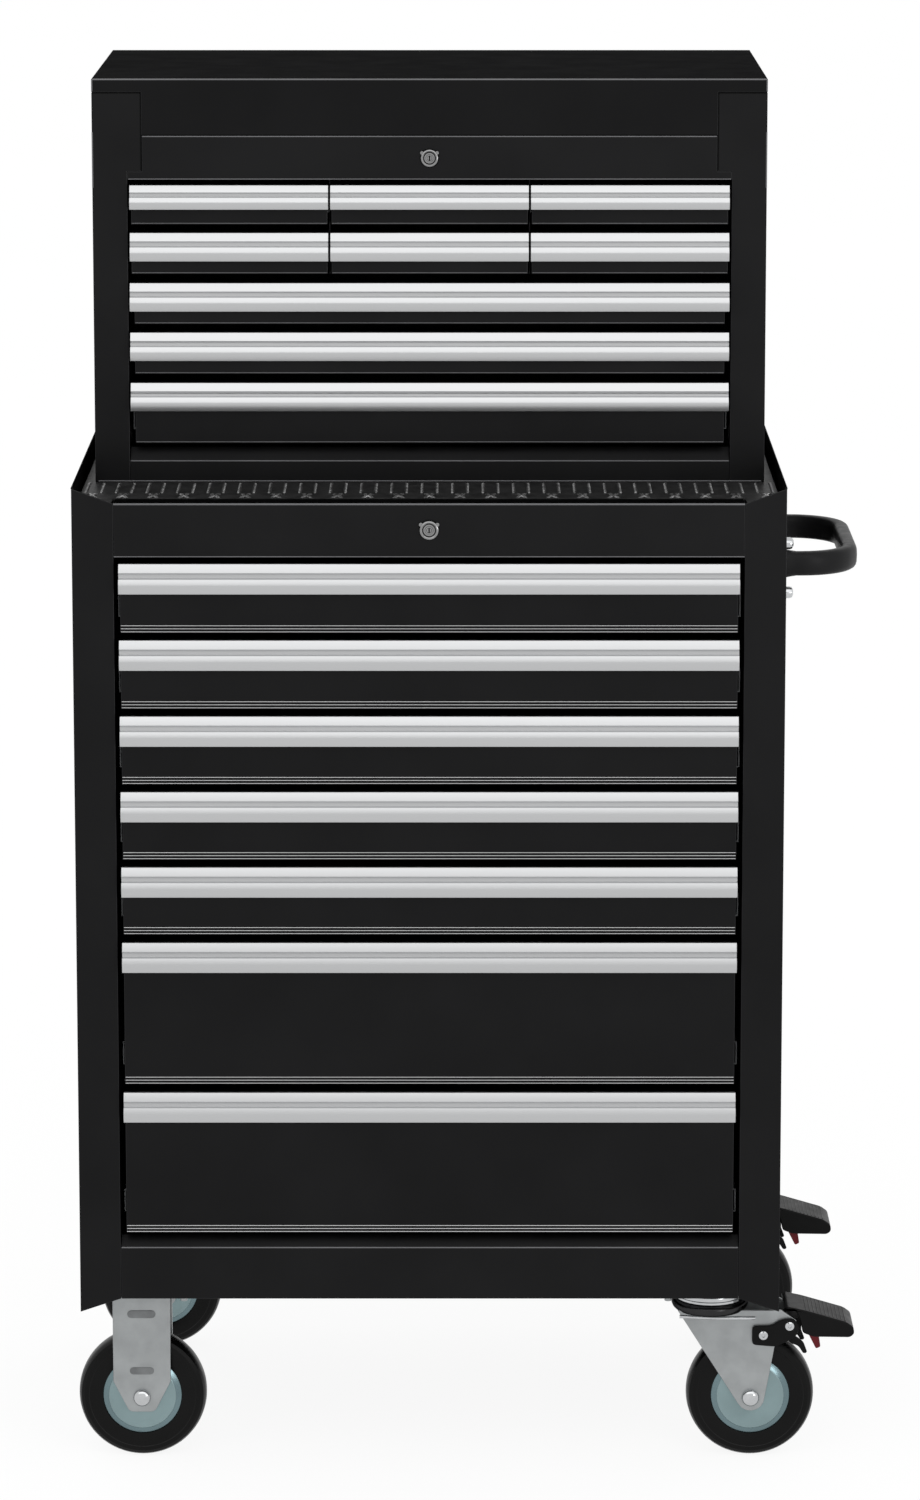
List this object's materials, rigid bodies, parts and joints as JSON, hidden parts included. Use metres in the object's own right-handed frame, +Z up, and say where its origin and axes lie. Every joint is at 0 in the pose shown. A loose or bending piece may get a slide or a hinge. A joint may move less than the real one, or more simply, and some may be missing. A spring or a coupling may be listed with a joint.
{
  "type": "rolling tool chest",
  "caption": "Black steel rolling tool chest: a lidded top chest on a drawer cabinet with full-width aluminium pulls, locks, casters and a side push handle.",
  "frame": {"origin": "on the floor, under the middle of the whole outline, with the push handle and the drawer pulls included", "axes": "+Z up, the drawers face -Y and open towards it, +X to the right, where the push handle is"},
  "size_m": [0.7734, 0.4711, 1.3673],
  "materials": {
    "black_powder_coat": "satin black powder coat",
    "drawer_enamel": "satin black powder coat",
    "anodised_pull": "satin clear anodised extrusion",
    "tread_rubber": "embossed matte rubber",
    "handle_grip": "satin textured",
    "lock_chrome": "bright",
    "race_chrome": "bright zinc",
    "zinc_steel": "bright zinc plate",
    "tyre": "satin moulded rubber",
    "pedal_plastic": "satin moulded"
  },
  "bodies": {
    "root": {"cabinet_left_side": "black_powder_coat", "cabinet_right_side": "black_powder_coat", "cabinet_back": "black_powder_coat", "cabinet_top_pan": "black_powder_coat", "cabinet_bottom_pan": "black_powder_coat", "cabinet_front_rail": "black_powder_coat", "chest_left_side": "black_powder_coat", "chest_right_side": "black_powder_coat", "chest_back": "black_powder_coat", "chest_floor": "black_powder_coat", "chest_till_tray": "black_powder_coat", "top_mat": "tread_rubber", "push_handle": "handle_grip", "rigid_fork_front": "zinc_steel", "swivel_plate_front": "race_chrome", "rigid_fork_rear": "zinc_steel", "swivel_plate_rear": "race_chrome"},
    "cabinet_drawer_1": {"cabinet_drawer_1_tray": "drawer_enamel", "cabinet_drawer_1_pull": "anodised_pull"},
    "cabinet_drawer_2": {"cabinet_drawer_2_tray": "drawer_enamel", "cabinet_drawer_2_pull": "anodised_pull"},
    "cabinet_drawer_3": {"cabinet_drawer_3_tray": "drawer_enamel", "cabinet_drawer_3_pull": "anodised_pull"},
    "cabinet_drawer_4": {"cabinet_drawer_4_tray": "drawer_enamel", "cabinet_drawer_4_pull": "anodised_pull"},
    "cabinet_drawer_5": {"cabinet_drawer_5_tray": "drawer_enamel", "cabinet_drawer_5_pull": "anodised_pull"},
    "cabinet_drawer_6": {"cabinet_drawer_6_tray": "drawer_enamel", "cabinet_drawer_6_pull": "anodised_pull"},
    "cabinet_drawer_7": {"cabinet_drawer_7_tray": "drawer_enamel", "cabinet_drawer_7_pull": "anodised_pull"},
    "chest_wide_drawer_1": {"chest_wide_drawer_1_tray": "drawer_enamel", "chest_wide_drawer_1_pull": "anodised_pull"},
    "chest_wide_drawer_2": {"chest_wide_drawer_2_tray": "drawer_enamel", "chest_wide_drawer_2_pull": "anodised_pull"},
    "chest_wide_drawer_3": {"chest_wide_drawer_3_tray": "drawer_enamel", "chest_wide_drawer_3_pull": "anodised_pull"},
    "chest_small_drawer_left_1": {"chest_small_drawer_left_1_tray": "drawer_enamel", "chest_small_drawer_left_1_pull": "anodised_pull"},
    "chest_small_drawer_middle_1": {"chest_small_drawer_middle_1_tray": "drawer_enamel", "chest_small_drawer_middle_1_pull": "anodised_pull"},
    "chest_small_drawer_right_1": {"chest_small_drawer_right_1_tray": "drawer_enamel", "chest_small_drawer_right_1_pull": "anodised_pull"},
    "chest_small_drawer_left_2": {"chest_small_drawer_left_2_tray": "drawer_enamel", "chest_small_drawer_left_2_pull": "anodised_pull"},
    "chest_small_drawer_middle_2": {"chest_small_drawer_middle_2_tray": "drawer_enamel", "chest_small_drawer_middle_2_pull": "anodised_pull"},
    "chest_small_drawer_right_2": {"chest_small_drawer_right_2_tray": "drawer_enamel", "chest_small_drawer_right_2_pull": "anodised_pull"},
    "lid": {"chest_lid": "black_powder_coat"},
    "cabinet_lock": {"cabinet_lock": "lock_chrome"},
    "chest_lock": {"chest_lock": "lock_chrome"},
    "rigid_wheel_front": {"rigid_wheel_front": "tyre"},
    "swivel_front": {"swivel_fork_front": "zinc_steel"},
    "swivel_wheel_front": {"swivel_wheel_front": "tyre"},
    "brake_pedal_front": {"brake_pedal_front": "pedal_plastic"},
    "rigid_wheel_rear": {"rigid_wheel_rear": "tyre"},
    "swivel_rear": {"swivel_fork_rear": "zinc_steel"},
    "swivel_wheel_rear": {"swivel_wheel_rear": "tyre"},
    "brake_pedal_rear": {"brake_pedal_rear": "pedal_plastic"}
  },
  "joints": [
    {"name": "cabinet_drawer_1_slide", "type": "slide", "parent": "root", "child": "cabinet_drawer_1", "axis": [0, -1, 0], "range_m": [0, 0.3]},
    {"name": "cabinet_drawer_2_slide", "type": "slide", "parent": "root", "child": "cabinet_drawer_2", "axis": [0, -1, 0], "range_m": [0, 0.3]},
    {"name": "cabinet_drawer_3_slide", "type": "slide", "parent": "root", "child": "cabinet_drawer_3", "axis": [0, -1, 0], "range_m": [0, 0.3]},
    {"name": "cabinet_drawer_4_slide", "type": "slide", "parent": "root", "child": "cabinet_drawer_4", "axis": [0, -1, 0], "range_m": [0, 0.3]},
    {"name": "cabinet_drawer_5_slide", "type": "slide", "parent": "root", "child": "cabinet_drawer_5", "axis": [0, -1, 0], "range_m": [0, 0.3]},
    {"name": "cabinet_drawer_6_slide", "type": "slide", "parent": "root", "child": "cabinet_drawer_6", "axis": [0, -1, 0], "range_m": [0, 0.3]},
    {"name": "cabinet_drawer_7_slide", "type": "slide", "parent": "root", "child": "cabinet_drawer_7", "axis": [0, -1, 0], "range_m": [0, 0.3]},
    {"name": "chest_wide_drawer_1_slide", "type": "slide", "parent": "root", "child": "chest_wide_drawer_1", "axis": [0, -1, 0], "range_m": [0, 0.2]},
    {"name": "chest_wide_drawer_2_slide", "type": "slide", "parent": "root", "child": "chest_wide_drawer_2", "axis": [0, -1, 0], "range_m": [0, 0.2]},
    {"name": "chest_wide_drawer_3_slide", "type": "slide", "parent": "root", "child": "chest_wide_drawer_3", "axis": [0, -1, 0], "range_m": [0, 0.2]},
    {"name": "chest_small_drawer_left_1_slide", "type": "slide", "parent": "root", "child": "chest_small_drawer_left_1", "axis": [0, -1, 0], "range_m": [0, 0.2]},
    {"name": "chest_small_drawer_middle_1_slide", "type": "slide", "parent": "root", "child": "chest_small_drawer_middle_1", "axis": [0, -1, 0], "range_m": [0, 0.2]},
    {"name": "chest_small_drawer_right_1_slide", "type": "slide", "parent": "root", "child": "chest_small_drawer_right_1", "axis": [0, -1, 0], "range_m": [0, 0.2]},
    {"name": "chest_small_drawer_left_2_slide", "type": "slide", "parent": "root", "child": "chest_small_drawer_left_2", "axis": [0, -1, 0], "range_m": [0, 0.2]},
    {"name": "chest_small_drawer_middle_2_slide", "type": "slide", "parent": "root", "child": "chest_small_drawer_middle_2", "axis": [0, -1, 0], "range_m": [0, 0.2]},
    {"name": "chest_small_drawer_right_2_slide", "type": "slide", "parent": "root", "child": "chest_small_drawer_right_2", "axis": [0, -1, 0], "range_m": [0, 0.2]},
    {"name": "lid_hinge", "type": "hinge", "parent": "root", "child": "lid", "pos_m": [-0.03725, 0.2315, 1.3603], "axis": [-1, 0, 0], "range_deg": [0, 95]},
    {"name": "cabinet_lock_turn", "type": "hinge", "parent": "root", "child": "cabinet_lock", "pos_m": [-0.03725, -0.2215, 0.9455], "axis": [0, 1, 0], "range_deg": [0, 90]},
    {"name": "chest_lock_turn", "type": "hinge", "parent": "root", "child": "chest_lock", "pos_m": [-0.03725, -0.0965, 1.2903], "axis": [0, 1, 0], "range_deg": [0, 90]},
    {"name": "rigid_wheel_front_spin", "type": "hinge", "parent": "root", "child": "rigid_wheel_front", "pos_m": [-0.32325, -0.1595, 0.0635], "axis": [0, 1, 0], "continuous": true},
    {"name": "swivel_front_turn", "type": "hinge", "parent": "root", "child": "swivel_front", "pos_m": [0.24075, -0.1595, 0.157], "axis": [0, 0, 1], "continuous": true},
    {"name": "swivel_wheel_front_spin", "type": "hinge", "parent": "swivel_front", "child": "swivel_wheel_front", "pos_m": [0.28075, -0.1595, 0.0635], "axis": [0, 1, 0], "continuous": true},
    {"name": "brake_pedal_front_press", "type": "hinge", "parent": "swivel_front", "child": "brake_pedal_front", "pos_m": [0.31875, -0.1595, 0.133], "axis": [0, 1, 0], "range_deg": [0, 12]},
    {"name": "rigid_wheel_rear_spin", "type": "hinge", "parent": "root", "child": "rigid_wheel_rear", "pos_m": [-0.32325, 0.1735, 0.0635], "axis": [0, 1, 0], "continuous": true},
    {"name": "swivel_rear_turn", "type": "hinge", "parent": "root", "child": "swivel_rear", "pos_m": [0.24075, 0.1735, 0.157], "axis": [0, 0, 1], "continuous": true},
    {"name": "swivel_wheel_rear_spin", "type": "hinge", "parent": "swivel_rear", "child": "swivel_wheel_rear", "pos_m": [0.28075, 0.1735, 0.0635], "axis": [0, 1, 0], "continuous": true},
    {"name": "brake_pedal_rear_press", "type": "hinge", "parent": "swivel_rear", "child": "brake_pedal_rear", "pos_m": [0.31875, 0.1735, 0.133], "axis": [0, 1, 0], "range_deg": [0, 12]}
  ]
}
